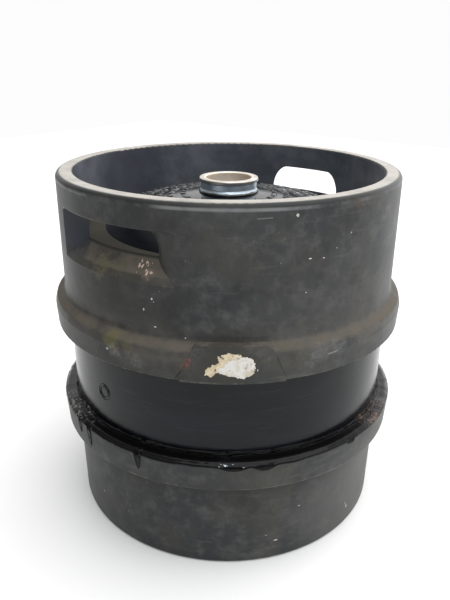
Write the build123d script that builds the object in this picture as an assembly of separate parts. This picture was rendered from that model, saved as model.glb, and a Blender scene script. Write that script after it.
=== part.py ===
from build123d import *
import os
from math import asin, cos, degrees, hypot, radians, sin, sqrt

# A 30-litre beer keg: a stainless steel vessel with a moulded polyurethane chime at each end.
# Millimetres. The origin is on the floor under the middle of the keg and +Z is up.
# The two hand holes face +X and -X.

os.makedirs("parts", exist_ok=True)

# ---- driving dimensions ----
HEIGHT = 396.0
RING_R = 200.2              # rolling rings, the widest part of the keg
CHIME_R = 188.6             # outside of the top chime above its ring
RIM_INNER_R = 170.7         # inside of the rim, round the well
VESSEL_R = 184.8            # the band of the vessel that shows between the chimes
SHEET = 1.5                 # vessel sheet thickness

UPPER_RING_Z = 230.5        # underside of the upper ring
UPPER_SHOULDER_Z = 261.0
CHIME_FOOT_Z = 267.0        # where the ring's slope meets the chime's wall
GUTTER_Z = 331.0            # floor of the well, round the dome

LOWER_RING_TOP_Z = 141.0
LOWER_RING_Z = 107.5        # underside of the lower ring
FOOT_TOP_R = 185.2
FOOT_R = 183.0
FOOT_INNER_R = 161.0

DOME_Z = 368.0              # top of the vessel's upper head, under the neck
CROWN_R = 430.0             # crown radius of both heads
DOME_EDGE_R = 122.0         # where the crown ends and the step down begins
STEP_FOOT_R = 141.5
STEP_FOOT_Z = 329.0
SHOULDER_Z = 318.0
BASE_Z = 22.0               # lowest point of the vessel's lower head
BASE_R = 179.0              # vessel radius inside the base chime
BASE_KNUCKLE = 45.0
NECK_IN_Z = LOWER_RING_Z + 3.0      # the vessel draws in here to go inside the base chime
NECK_IN_HEIGHT = 14.0
DOME_EDGE_ROUNDING, STEP_FOOT_ROUNDING = 12.0, 9.0
SHOULDER_ROUNDING, NECK_IN_ROUNDING = 34.0, 12.0
WELD_Z = 186.0              # joint of the two half shells

HAND_WIDTH, HAND_CORNER = 95.0, 26.5                # where the hole opens into the well
HAND_MOUTH_CORNER = 6.0     # the flared mouth outside has tighter corners
HAND_LOW_Z, HAND_HIGH_Z = 314.0, 368.0
HAND_FLOOR_OUT_Z, HAND_FLOOR_IN_Z = 321.0, 340.0    # the floor slopes between the walls
HAND_LIP_R, HAND_LIP_ROUNDING = 185.0, 6.0          # where the floor turns down to the outside
HAND_LIP_DROP = 9.0
HAND_EDGE = 1.5             # rounding along the top of the mouth
FLARE_X = 161.0             # the ends of the mouth flare outwards from here
FLARE_DEPTH, FLARE_WIDEN = 11.7, 31.0
FLARE_ANGLES = (0, 25, 45, 62, 76, 86)
HAND_OVERSHOOT = 30.0       # how far the cutter runs on past the wall at each side

PAD_AZIMUTH = -140.5        # label pad on the upper ring, degrees from +X
PAD_R = 199.0
PAD_LOW_Z, PAD_HIGH_Z = 229.5, 268.0
PAD_LOW_HALF, PAD_HIGH_HALF = 51.5, 35.0
LABEL_THICK = 0.35

LIP_R, LIP_Z, LIP_HEIGHT = 33.1, 383.0, 4.6
NECK_R = 31.2
NECK_FLARE_R = 33.7
NECK_BORE_R = 25.6          # two-inch neck
NECK_END_Z = 338.0
NECK_SEAT_Z = 343.0
NECK_SEAT_R = 22.0
THREAD_PITCH = 1.81         # 14 threads to the inch, drawn as separate grooves
THREAD_DEPTH = 0.6

SPEAR_TOP_Z = 370.0
SPEAR_R = 25.4
SEAL_THICK = 3.0
BAYONET_R, LUG_R, LUG_WIDTH = 18.0, 22.0, 14.0
SEAT_LIP_Z, SEAT_LIP_R = 358.0, 15.0
SEAT_Z = 355.0              # underside of the seat lip, where the gas seal closes
CAGE_R, CAGE_WALL, CAGE_END_Z = 21.0, 1.6, 300.0
TUBE_R, TUBE_BORE_R = 8.0, 7.1
TUBE_CLEARANCE = 12.0       # gap from the tube's end to the bottom of the vessel
BALL_R = 6.8
BALL_HOLE_R = 6.0

HOOP_THICK, HOOP_WIDTH = 2.5, 16.0


def turned(corners):
    """Revolve a closed outline of (radius, height, corner rounding) about +Z."""
    path = FilletPolyline(
        *[(radius, height) for radius, height, _ in corners],
        radius=[rounding for _, _, rounding in corners],
        close=True,
    )
    return revolve(Plane.XZ * make_face(path), Axis.Z)


def tube(outer, inner, low, high):
    """A plain ring between two heights."""
    return turned([(inner, low, 0), (outer, low, 0), (outer, high, 0), (inner, high, 0)])


def disc(radius, low, high):
    """A plain cylinder between two heights."""
    return Pos(0, 0, (low + high) / 2) * Cylinder(radius, high - low)


def crown_height(radius):
    """How far the crown of a head has dropped at this radius."""
    return CROWN_R - sqrt(CROWN_R**2 - radius**2)


def rounded(face, radius, height, rounding):
    """Round the face's corner nearest to (radius, height)."""
    corner = face.vertices().sort_by_distance((radius, height))[0]
    return fillet(corner, rounding)


def vessel_outline():
    """Half section of the vessel's outside: stepped upper head, barrel, dished lower head."""
    edge_z = DOME_Z - crown_height(DOME_EDGE_R)
    crown_angle = degrees(asin(DOME_EDGE_R / CROWN_R))
    reach = CROWN_R - BASE_KNUCKLE
    knuckle_r = BASE_R - BASE_KNUCKLE
    knuckle_z = BASE_Z + CROWN_R - sqrt(reach**2 - knuckle_r**2)
    base_angle = degrees(asin(knuckle_r / reach))
    side = Polyline(
        (DOME_EDGE_R, edge_z),
        (STEP_FOOT_R, STEP_FOOT_Z),
        (VESSEL_R, SHOULDER_Z),
        (VESSEL_R, NECK_IN_Z + NECK_IN_HEIGHT),
        (BASE_R, NECK_IN_Z),
        (BASE_R, knuckle_z),
    )
    face = make_face([
        CenterArc((0, DOME_Z - CROWN_R), CROWN_R, 90, -crown_angle),
        *side.edges(),
        CenterArc((knuckle_r, knuckle_z), BASE_KNUCKLE, 0, base_angle - 90),
        CenterArc((0, BASE_Z + CROWN_R), CROWN_R, base_angle - 90, -base_angle),
        Line((0, BASE_Z), (0, DOME_Z)),
    ])
    face = rounded(face, DOME_EDGE_R, edge_z, DOME_EDGE_ROUNDING)
    face = rounded(face, STEP_FOOT_R, STEP_FOOT_Z, STEP_FOOT_ROUNDING)
    face = rounded(face, VESSEL_R, SHOULDER_Z, SHOULDER_ROUNDING)
    face = rounded(face, VESSEL_R, NECK_IN_Z + NECK_IN_HEIGHT, NECK_IN_ROUNDING)
    face = rounded(face, BASE_R, NECK_IN_Z, NECK_IN_ROUNDING)
    return face


def half_plane():
    """Everything on the positive side of the axis, in the section's own plane."""
    return Pos(HEIGHT / 2, HEIGHT / 2) * Rectangle(HEIGHT, 2 * HEIGHT)


def vessel_solids():
    """The vessel as a full solid of its outside, and the hollow inside it."""
    half = vessel_outline()
    whole = half + mirror(half, Plane.YZ)
    hollow = offset(whole, amount=-SHEET) & half_plane()
    return revolve(Plane.XZ * half, Axis.Z), revolve(Plane.XZ * hollow, Axis.Z)


def half_shells(outside, hollow):
    """The two drawn half shells, with the neck's hole in the upper one."""
    shell = outside - hollow
    upper = shell & disc(RING_R, WELD_Z, HEIGHT)
    lower = shell & disc(RING_R, 0, WELD_Z)
    return upper - disc(NECK_R, DOME_Z - 20, HEIGHT), lower


def grooves(radius, depth, low, high):
    """A row of V grooves round the axis, cut from the given radius by a signed depth."""
    count = int((high - low) / THREAD_PITCH)
    half = THREAD_PITCH * 0.4
    overshoot = -0.2 if depth > 0 else 0.2
    rings = []
    for index in range(count):
        middle = low + (index + 0.5) * THREAD_PITCH
        rings.append(turned([
            (radius + overshoot, middle - half, 0),
            (radius + depth, middle, 0),
            (radius + overshoot, middle + half, 0),
        ]))
    return rings


def neck(outside):
    """Threaded neck with a rolled lip and a flared weld foot that sits on the dome."""
    body = turned([
        (NECK_SEAT_R, NECK_END_Z, 0),
        (NECK_R, NECK_END_Z, 0),
        (NECK_R, DOME_Z - 4, 0),
        (NECK_FLARE_R, DOME_Z - 4, 0),
        (NECK_FLARE_R, DOME_Z, 1.0),
        (NECK_R, DOME_Z + 3.5, 3.0),
        (NECK_R, LIP_Z - LIP_HEIGHT, 0.8),
        (LIP_R, LIP_Z - LIP_HEIGHT + 1.0, 0.5),
        (LIP_R, LIP_Z, 1.4),
        (NECK_BORE_R, LIP_Z, 1.2),
        (NECK_BORE_R, NECK_SEAT_Z, 0),
        (NECK_SEAT_R, NECK_SEAT_Z, 0),
    ])
    body -= grooves(NECK_BORE_R, THREAD_DEPTH, NECK_SEAT_Z + SEAL_THICK + 1, SPEAR_TOP_Z - 1)
    body -= tube(NECK_BORE_R + 1.4, NECK_BORE_R - 1, SPEAR_TOP_Z + 0.3, SPEAR_TOP_Z + 2.1)
    return body - (outside - disc(NECK_R, 0, HEIGHT))


def hand_outline(x, share=0.0):
    """Outline of a hand hole at a distance x from the axis, with its share of the full flare."""
    height = HAND_HIGH_Z - HAND_LOW_Z
    plane = Plane(origin=(x, 0, HAND_LOW_Z + height / 2), x_dir=(0, 1, 0), z_dir=(1, 0, 0))
    corner = HAND_CORNER + (HAND_MOUTH_CORNER - HAND_CORNER) * share
    return plane * RectangleRounded(HAND_WIDTH + 2 * FLARE_WIDEN * share, height, corner)


def hand_hole():
    """Cutter for one hand hole, with flared ends and a floor that climbs to the well."""
    straight = extrude(hand_outline(FLARE_X - HAND_OVERSHOOT), HAND_OVERSHOOT)
    outlines = [
        hand_outline(FLARE_X + FLARE_DEPTH * sin(radians(angle)), 1 - cos(radians(angle)))
        for angle in FLARE_ANGLES
    ]
    flare = loft(outlines)
    slope = (HAND_FLOOR_IN_Z - HAND_FLOOR_OUT_Z) / (CHIME_R - RIM_INNER_R)
    reach = 12.0
    lip_z = HAND_FLOOR_OUT_Z + slope * (CHIME_R - HAND_LIP_R)
    above_floor = turned([
        (RIM_INNER_R - reach, HAND_FLOOR_IN_Z + slope * reach, 0),
        (HAND_LIP_R, lip_z, HAND_LIP_ROUNDING),
        (CHIME_R + 1, lip_z - HAND_LIP_DROP, 0),
        (CHIME_R + reach, lip_z - HAND_LIP_DROP, 0),
        (CHIME_R + reach, HEIGHT, 0),
        (RIM_INNER_R - reach, HEIGHT, 0),
    ])
    return (straight + flare + extrude(outlines[-1], HAND_OVERSHOOT)) & above_floor


def top_edges(body):
    """The edges where the tops of the hand holes break through the outer wall."""
    def on_wall(edge):
        points = [edge @ 0.25, edge @ 0.75]
        level = all(abs(point.Z - HAND_HIGH_Z) < 0.05 for point in points)
        return level and all(abs(hypot(point.X, point.Y) - CHIME_R) < 0.05 for point in points)

    return body.edges().filter_by(on_wall)


def pad_prism(margin=0.0):
    """Trapezoid with rounded corners, pushed out through the wall at the pad's azimuth."""
    corners = [
        (-PAD_LOW_HALF - margin, PAD_LOW_Z),
        (PAD_LOW_HALF + margin, PAD_LOW_Z),
        (PAD_HIGH_HALF + margin, PAD_HIGH_Z + margin),
        (-PAD_HIGH_HALF - margin, PAD_HIGH_Z + margin),
    ]
    path = FilletPolyline(*corners, radius=[2, 2, 9, 9], close=True)
    face = Plane(origin=(0, 0, 0), x_dir=(0, 1, 0), z_dir=(1, 0, 0)) * make_face(path)
    return Rot(0, 0, PAD_AZIMUTH) * extrude(face, RING_R + 20)


def top_chime(outside, hoop):
    """Rim, hand holes, upper rolling ring and label pad, moulded on to the vessel."""
    body = turned([
        (STEP_FOOT_R - 8, UPPER_RING_Z, 0),
        (RING_R - 1.2, UPPER_RING_Z, 1.5),
        (RING_R, UPPER_SHOULDER_Z - 8, 5),
        (RING_R - 2.2, UPPER_SHOULDER_Z, 5),
        (CHIME_R, CHIME_FOOT_Z, 8),
        (CHIME_R, HEIGHT, 5.5),
        (RIM_INNER_R, HEIGHT, 1.8),
        (RIM_INNER_R, GUTTER_Z, 2.5),
        (STEP_FOOT_R - 8, GUTTER_Z, 0),
    ])
    body -= tube(RING_R + 5, PAD_R, PAD_LOW_Z - 5, PAD_HIGH_Z + 5) & pad_prism(0.8)
    pad = tube(PAD_R, VESSEL_R, PAD_LOW_Z, PAD_HIGH_Z) & pad_prism()
    body = body + pad - outside - hoop
    for turn in (0, 180):
        body -= Rot(0, 0, turn) * hand_hole()
    return fillet(top_edges(body), HAND_EDGE)


def base_chime(outside, hoop):
    """Lower rolling ring and foot, with the recess under the vessel."""
    body = turned([
        (FOOT_INNER_R + 3, LOWER_RING_TOP_Z, 0),
        (VESSEL_R + 10.5, LOWER_RING_TOP_Z - 0.8, 3),
        (RING_R - 0.8, LOWER_RING_TOP_Z - 5, 3),
        (RING_R - 2.8, LOWER_RING_Z, 1.5),
        (FOOT_TOP_R, LOWER_RING_Z, 1.0),
        (FOOT_R, 0, 4.5),
        (FOOT_INNER_R, 0, 4.5),
        (FOOT_INNER_R - 12, BASE_Z + 40, 0),
        (FOOT_INNER_R - 12, BASE_Z + 60, 0),
    ])
    return body - outside - hoop


def hoop(middle_r, middle_z):
    """Steel band moulded into a chime."""
    half = HOOP_THICK / 2
    low, high = middle_z - HOOP_WIDTH / 2, middle_z + HOOP_WIDTH / 2
    return tube(middle_r + half, middle_r - half, low, high)


def paper_label():
    """Remnant of a paper label on the pad."""
    corners = [
        (-18, 237.5), (-24, 246), (-21, 256), (-6, 261), (12, 258), (20, 245), (9, 238), (0, 236.5),
    ]
    face = Plane(origin=(0, 0, 0), x_dir=(0, 1, 0), z_dir=(1, 0, 0)) * make_face(
        Polyline(*corners, close=True))
    prism = Rot(0, 0, PAD_AZIMUTH) * extrude(face, RING_R + 20)
    return tube(PAD_R + LABEL_THICK, PAD_R, PAD_LOW_Z, PAD_HIGH_Z) & prism


def spear_housing():
    """Threaded body with the coupler's bayonet bore, and the cage that guides the valve."""
    flange_z = NECK_SEAT_Z + SEAL_THICK
    body = turned([
        (SEAT_LIP_R, SEAT_Z, 0),
        (CAGE_R - CAGE_WALL, SEAT_Z, 0),
        (CAGE_R - CAGE_WALL, CAGE_END_Z, 0),
        (CAGE_R, CAGE_END_Z, 0),
        (CAGE_R, flange_z, 0),
        (SPEAR_R, flange_z, 0),
        (SPEAR_R, SPEAR_TOP_Z, 0.8),
        (BAYONET_R, SPEAR_TOP_Z, 0.8),
        (BAYONET_R, SEAT_LIP_Z, 0),
        (SEAT_LIP_R, SEAT_LIP_Z, 0.8),
    ])
    body -= grooves(SPEAR_R, -THREAD_DEPTH, flange_z + 2, SPEAR_TOP_Z - 1)
    lugs = Box(2 * LUG_R, LUG_WIDTH, SPEAR_TOP_Z - SEAT_LIP_Z)
    body -= Pos(0, 0, (SPEAR_TOP_Z + SEAT_LIP_Z) / 2) * lugs & disc(LUG_R, SEAT_LIP_Z, SPEAR_TOP_Z)
    for turn in (0, 90):
        window = Box(3 * CAGE_R, 14, 18)
        body -= Pos(0, 0, CAGE_END_Z + 19) * Rot(0, 0, turn) * window
    return body


def coil(radius, wire_r, low, high, turns):
    """Compression spring with its wire just inside the two heights."""
    height = high - low - 2 * wire_r
    path = Helix(height / turns, height, radius)
    start = path @ 0
    profile = Plane(origin=start, z_dir=path % 0) * Circle(wire_r)
    return Pos(0, 0, low + wire_r) * sweep(profile, path, is_frenet=True)


def clip():
    """Open retaining ring above the spear's threaded body."""
    ring = tube(NECK_BORE_R + 1.2, NECK_BORE_R - 1.0, SPEAR_TOP_Z + 0.5, SPEAR_TOP_Z + 1.9)
    gap = Pos(0, NECK_BORE_R, SPEAR_TOP_Z + 1.2) * Box(16, 12, 6)
    return ring - gap


def main():
    outside, hollow = vessel_solids()
    upper, lower = half_shells(outside, hollow)
    rim_hoop = hoop((RIM_INNER_R + CHIME_R) / 2, HEIGHT - 18)
    foot_hoop = hoop((FOOT_INNER_R + FOOT_R) / 2, 16)
    cup_z = SEAT_Z - 6.0
    tube_low = BASE_Z + SHEET + TUBE_CLEARANCE
    spring_floor = CAGE_END_Z + 2.0
    ball_z = cup_z - sqrt(BALL_R**2 - BALL_HOLE_R**2) - 0.2
    nodes = {
        "vessel_top_shell": upper,
        "vessel_bottom_shell": lower,
        "keg_neck": neck(outside),
        "top_chime": top_chime(outside, rim_hoop),
        "base_chime": base_chime(outside, foot_hoop),
        "rim_hoop": rim_hoop,
        "foot_hoop": foot_hoop,
        "paper_label": paper_label(),
        "spear_housing": spear_housing(),
        "neck_seal": tube(SPEAR_R, CAGE_R + 0.2, NECK_SEAT_Z, NECK_SEAT_Z + SEAL_THICK),
        "safety_clip": clip(),
        "spring_cup": turned([
            (TUBE_R + 0.4, CAGE_END_Z, 0),
            (CAGE_R - CAGE_WALL, CAGE_END_Z, 0),
            (CAGE_R - CAGE_WALL, spring_floor + 4, 0),
            (CAGE_R - 2 * CAGE_WALL, spring_floor + 4, 0),
            (CAGE_R - 2 * CAGE_WALL, spring_floor, 0),
            (TUBE_R + 0.4, spring_floor, 0),
        ]),
        "gas_spring": coil(13.0, 1.1, spring_floor, cup_z - 3, 5),
        "gas_seal": turned([
            (BALL_HOLE_R, cup_z, 0),
            (BAYONET_R + 0.4, cup_z, 1),
            (BAYONET_R + 0.4, SEAT_Z, 1),
            (BALL_HOLE_R, SEAT_Z, 1.5),
        ]),
        "seal_cup": turned([
            (TUBE_R, cup_z - 3, 0),
            (BAYONET_R, cup_z - 3, 1),
            (BAYONET_R, cup_z, 0),
            (TUBE_R, cup_z, 0),
        ]),
        "down_tube": tube(TUBE_R, TUBE_BORE_R, tube_low, cup_z),
        "ball_spring_seat": tube(TUBE_BORE_R, 4.0, cup_z - 26, cup_z - 24),
        "ball_spring": coil(5.2, 0.5, cup_z - 24, ball_z - 4.6, 5),
        "beer_ball": Pos(0, 0, ball_z) * Sphere(BALL_R),
    }
    for name, shape in nodes.items():
        export_step(shape, f"parts/{name}.step")


main()
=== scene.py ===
import math
import random

import bmesh
import bpy
from mathutils import Matrix, Vector, noise
from mathutils.bvhtree import BVHTree

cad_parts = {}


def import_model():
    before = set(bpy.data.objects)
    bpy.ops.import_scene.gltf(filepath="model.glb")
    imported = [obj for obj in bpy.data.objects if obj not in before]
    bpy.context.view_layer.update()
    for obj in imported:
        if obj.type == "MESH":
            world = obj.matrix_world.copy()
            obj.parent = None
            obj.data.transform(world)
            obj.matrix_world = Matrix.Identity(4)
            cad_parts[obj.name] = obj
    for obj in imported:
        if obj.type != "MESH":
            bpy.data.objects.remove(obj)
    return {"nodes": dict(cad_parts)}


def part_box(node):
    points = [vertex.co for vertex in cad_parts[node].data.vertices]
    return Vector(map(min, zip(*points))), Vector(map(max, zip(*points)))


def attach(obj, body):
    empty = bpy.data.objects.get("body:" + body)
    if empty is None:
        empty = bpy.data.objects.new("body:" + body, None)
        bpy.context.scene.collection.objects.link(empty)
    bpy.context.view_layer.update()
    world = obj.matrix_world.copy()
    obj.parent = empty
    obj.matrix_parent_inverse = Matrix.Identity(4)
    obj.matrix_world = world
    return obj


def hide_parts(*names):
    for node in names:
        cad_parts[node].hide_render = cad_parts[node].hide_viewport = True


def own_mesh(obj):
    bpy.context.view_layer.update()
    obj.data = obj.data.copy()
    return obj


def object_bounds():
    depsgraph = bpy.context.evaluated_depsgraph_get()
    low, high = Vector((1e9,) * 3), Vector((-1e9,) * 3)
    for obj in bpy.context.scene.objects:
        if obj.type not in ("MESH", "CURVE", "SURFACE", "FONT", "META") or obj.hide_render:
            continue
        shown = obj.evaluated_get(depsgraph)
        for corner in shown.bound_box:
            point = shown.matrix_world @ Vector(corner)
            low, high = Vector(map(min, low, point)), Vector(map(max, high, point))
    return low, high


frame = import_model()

CAD_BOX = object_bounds()
MM = 0.001


# ---------------------------------------------------------------- sizes, all from the frame
def top_of(node):
    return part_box(node)[1].z


def radius_of(node):
    low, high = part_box(node)
    return (high.x - low.x) / 2


HEIGHT = CAD_BOX[1].z
RING_R = radius_of("top_chime")
VESSEL_R = radius_of("vessel_bottom_shell")
LOWER_RING_R = radius_of("base_chime")
LOWER_RING_TOP = top_of("base_chime")
LOWER_RING_DEPTH = 33.5 * MM
LOWER_RING_LOW = LOWER_RING_TOP - LOWER_RING_DEPTH
UPPER_RING_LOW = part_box("top_chime")[0].z
DOME_TOP = top_of("vessel_top_shell")
NECK_BORE_R = 27 * MM              # just outside the bore's threads
CHIME_INSET, RIM_INNER_INSET = 11.6 * MM, 29.5 * MM     # both measured in from the upper ring
CHIME_R = RING_R - CHIME_INSET
RIM_INNER_R = RING_R - RIM_INNER_INSET
UPPER_SLOPE_Z = 0.262              # slope on top of the upper ring
PAD_AZIMUTH = -140.5               # middle of the label pad, degrees from +X
CAMERA_AZIMUTH = -142
CAMERA_DISTANCE, CAMERA_HEIGHT = 0.6996, 0.517          # from the keg's axis and above the floor
CAMERA_PITCH, CAMERA_ROLL = 22.1, 0.48                  # degrees
LENS, SENSOR, LENS_SHIFT = 37.27, 36.0, -0.0046
WORLD_BASE = 0.12                  # light from every direction
SEEN_WHITE = 0.98                  # what the camera sees past the keg


def polar(radius, azimuth, height):
    """Point at a radius (m), azimuth (degrees from +X) and height (m)."""
    turn = math.radians(azimuth)
    return Vector((radius * math.cos(turn), radius * math.sin(turn), height))


# ---------------------------------------------------------------- node-tree helper
class Surface:
    """A material under construction, with short calls for the nodes it needs."""

    def __init__(self, name, **uniform):
        self.material = bpy.data.materials.new(name)
        self.material.use_nodes = True
        self.tree = self.material.node_tree
        self.shader = self.tree.nodes["Principled BSDF"]
        for socket, value in uniform.items():
            self.shader.inputs[socket.replace("_", " ")].default_value = value
        self.place = self.node("ShaderNodeTexCoord").outputs["Object"]

    def node(self, kind, **settings):
        made = self.tree.nodes.new(kind)
        for key, value in settings.items():
            setattr(made, key, value)
        return made

    def link(self, value, socket):
        if isinstance(value, bpy.types.NodeSocket):
            self.tree.links.new(value, socket)
        else:
            socket.default_value = value

    def stretched(self, x, y, z):
        made = self.node("ShaderNodeMapping")
        self.link(self.place, made.inputs["Vector"])
        made.inputs["Scale"].default_value = (x, y, z)
        return made.outputs["Vector"]

    def noise(self, scale, detail=3.0, rough=0.55, vector=None, distortion=0.0):
        made = self.node("ShaderNodeTexNoise")
        self.link(vector or self.place, made.inputs["Vector"])
        made.inputs["Scale"].default_value = scale
        made.inputs["Detail"].default_value = detail
        made.inputs["Roughness"].default_value = rough
        made.inputs["Distortion"].default_value = distortion
        return made.outputs["Fac"]

    def cells(self, scale, vector=None, feature="F1"):
        made = self.node("ShaderNodeTexVoronoi", feature=feature)
        self.link(vector or self.place, made.inputs["Vector"])
        made.inputs["Scale"].default_value = scale
        return made.outputs["Distance"]

    def math(self, operation, first, second=0.5, third=0.5, clamp=False):
        made = self.node("ShaderNodeMath", operation=operation, use_clamp=clamp)
        for value, socket in zip((first, second, third), made.inputs):
            self.link(value, socket)
        return made.outputs[0]

    def fade(self, value, low, high):
        """0 below low and 1 above high, smooth between (or reversed when low > high)."""
        made = self.node("ShaderNodeMapRange", interpolation_type="SMOOTHSTEP")
        self.link(value, made.inputs["Value"])
        made.inputs["From Min"].default_value = low
        made.inputs["From Max"].default_value = high
        return made.outputs["Result"]

    def mix(self, factor, first, second):
        made = self.node("ShaderNodeMixRGB", blend_type="MIX")
        for value, socket in zip((factor, first, second), made.inputs):
            self.link(value, socket)
        return made.outputs[0]

    def tint(self, color, mask, strength, tone):
        """The colour with a tone laid over it, as strongly as given where the mask is 1."""
        return self.mix(self.math("MULTIPLY", mask, strength), color, rgb(*tone))

    def axis(self, name, vector=None):
        made = self.node("ShaderNodeSeparateXYZ")
        self.link(vector or self.place, made.inputs[0])
        return made.outputs[name]

    def radius(self):
        """Distance from the keg's axis."""
        made = self.node("ShaderNodeVectorMath", operation="LENGTH")
        self.link(self.stretched(1, 1, 0), made.inputs[0])
        return made.outputs["Value"]

    def facing_up(self):
        normal = self.node("ShaderNodeNewGeometry").outputs["Normal"]
        return self.axis("Z", normal)

    def spot(self, centre, size, ragged=0.5, scale=90.0):
        """1 in a ragged patch round a point, 0 outside."""
        made = self.node("ShaderNodeVectorMath", operation="DISTANCE")
        self.link(self.place, made.inputs[0])
        made.inputs[1].default_value = centre
        wander = size * ragged
        rough = self.math("MULTIPLY_ADD", self.noise(scale, 6, 0.7), wander, -wander * 0.5)
        reach = self.math("ADD", made.outputs["Value"], rough)
        return self.fade(reach, size, size * 0.45)

    def stroke(self, start, end, width):
        """1 along a short straight line between two points, 0 away from it."""
        span = end - start
        away = self.node("ShaderNodeVectorMath", operation="SUBTRACT")
        self.link(self.place, away.inputs[0])
        away.inputs[1].default_value = start
        along = self.node("ShaderNodeVectorMath", operation="DOT_PRODUCT")
        self.link(away.outputs["Vector"], along.inputs[0])
        along.inputs[1].default_value = span / span.length_squared
        nearest = self.node("ShaderNodeVectorMath", operation="SCALE")
        nearest.inputs[0].default_value = span
        self.link(self.math("ADD", along.outputs["Value"], 0.0, clamp=True), nearest.inputs["Scale"])
        gap = self.node("ShaderNodeVectorMath", operation="DISTANCE")
        self.link(away.outputs["Vector"], gap.inputs[0])
        self.link(nearest.outputs["Vector"], gap.inputs[1])
        return self.fade(gap.outputs["Value"], width, width * 0.4)

    def bump(self, height, strength, distance, normal=None):
        made = self.node("ShaderNodeBump")
        self.link(height, made.inputs["Height"])
        made.inputs["Strength"].default_value = strength
        made.inputs["Distance"].default_value = distance
        if normal:
            self.link(normal, made.inputs["Normal"])
        return made.outputs["Normal"]

    def finish(self, color, roughness=None, normal=None, metallic=None):
        wanted = {"Base Color": color, "Roughness": roughness, "Normal": normal, "Metallic": metallic}
        for socket, value in wanted.items():
            if value is not None:
                self.link(value, self.shader.inputs[socket])
        return self.material


def rgb(red, green, blue):
    return (red, green, blue, 1.0)


# ---------------------------------------------------------------- materials
def weathered_black(s):
    """Faded black with haze, olive patches, runs, rubs and grime."""
    haze = s.fade(s.noise(7.0, 5, 0.6, distortion=0.4), 0.38, 0.72)
    color = s.mix(haze, rgb(0.027, 0.029, 0.031), rgb(0.044, 0.045, 0.044))
    color = s.mix(s.fade(s.noise(60.0, 6, 0.65), 0.42, 0.75), color, rgb(0.066, 0.066, 0.064))
    olive = s.fade(s.noise(11.0, 3, 0.5), 0.5, 0.7)
    color = s.tint(color, olive, 0.5, (0.050, 0.048, 0.038))
    runs = s.fade(s.noise(45.0, 4, 0.6, s.stretched(1, 1, 0.12)), 0.5, 0.8)
    color = s.tint(color, runs, 0.45, (0.060, 0.056, 0.048))
    rubs = s.fade(s.noise(26.0, 5, 0.7, s.stretched(0.5, 0.5, 3.5)), 0.56, 0.72)
    color = s.tint(color, rubs, 0.5, (0.088, 0.088, 0.086))
    darkening = s.fade(s.noise(17.0, 5, 0.7), 0.5, 0.62)
    return s.tint(color, darkening, 0.5, (0.020, 0.020, 0.019))


def well_light_and_gutter(s, color, well, upward, gutter):
    """Painted bluish light on the blotched wall inside the rim, and the brown gutter at its foot."""
    wall = s.math("MULTIPLY", well, s.math("SUBTRACT", 0.8, upward, clamp=True))
    blotches = s.fade(s.noise(24.0, 5, 0.65), 0.35, 0.7)
    # painted light: the inner wall is made lighter and bluish for the cool light it catches
    color = s.mix(wall, color, s.mix(blotches, rgb(0.064, 0.071, 0.086), rgb(0.112, 0.123, 0.144)))
    return s.mix(gutter, color, rgb(0.034, 0.031, 0.024))


def painted_shading(s, color):
    # painted shade and painted light: broad darker and lighter patches laid over the colour
    for azimuth, height_mm, radius, size, tone, strength in PAINTED_SHADING:
        shade = s.spot(polar(radius, azimuth, height_mm * MM), size * MM, 0.7, 25.0)
        color = s.tint(color, shade, strength, tone)
    return color


def ledge_dust(s, height, upward, well):
    """1 where dust lies: on ledges outside the well and below the rim's top."""
    below_rim = s.fade(height, HEIGHT - 4 * MM, HEIGHT - 14 * MM)
    dust = s.math("MULTIPLY", s.math("MULTIPLY", upward, below_rim),
                  s.fade(s.noise(38.0, 6, 0.7), 0.25, 0.6))
    return s.math("MULTIPLY", dust, s.math("SUBTRACT", 1.0, well))


def rim_wear_and_painted_light(s, color, height, well):
    """Pale top of the rim, partly worn and partly a painted sheen, with a painted dark shade and a
    painted highlight on the rounding outside it.
    """
    rim = s.math("MULTIPLY", s.fade(height, HEIGHT - 3.2 * MM, HEIGHT - 1.0 * MM),
                 s.fade(s.facing_up(), 0.6, 0.9))
    rim = s.math("MULTIPLY", rim, s.fade(s.radius(), CHIME_R - 3.0 * MM, CHIME_R - 5.6 * MM))
    # partly worn and partly a painted sheen: the rim's top is made pale as if it reflects the bright
    # surroundings
    wear_and_sheen = s.math("MULTIPLY_ADD", s.fade(s.noise(55.0, 6, 0.7), 0.3, 0.6), 0.35, 0.55)
    color = s.tint(color, rim, wear_and_sheen, (0.36, 0.335, 0.30))

    # painted shade: a dark ring on the steep part of the rim's outer rounding
    crease_shade = s.math("ABSOLUTE", s.math("SUBTRACT", s.radius(), CHIME_R - 1.8 * MM))
    crease_shade = s.fade(crease_shade, 2.0 * MM, 0.8 * MM)
    crease_shade = s.math("MULTIPLY", crease_shade, s.fade(height, HEIGHT - 5 * MM, HEIGHT - 3 * MM))
    color = s.tint(color, crease_shade, 0.85, (0.016, 0.016, 0.016))
    # painted highlight: a pale broken ring lower on the rim's outer rounding, outside the well
    bead = s.math("ABSOLUTE", s.math("SUBTRACT", height, HEIGHT - 5.4 * MM))
    bead = s.fade(bead, 2.2 * MM, 0.6 * MM)
    bead = s.math("MULTIPLY", s.math("SUBTRACT", bead, well, clamp=True),
                  s.fade(s.noise(14.0, 4), 0.4, 0.6))
    return s.tint(color, bead, 0.75, (0.19, 0.192, 0.195))


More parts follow.
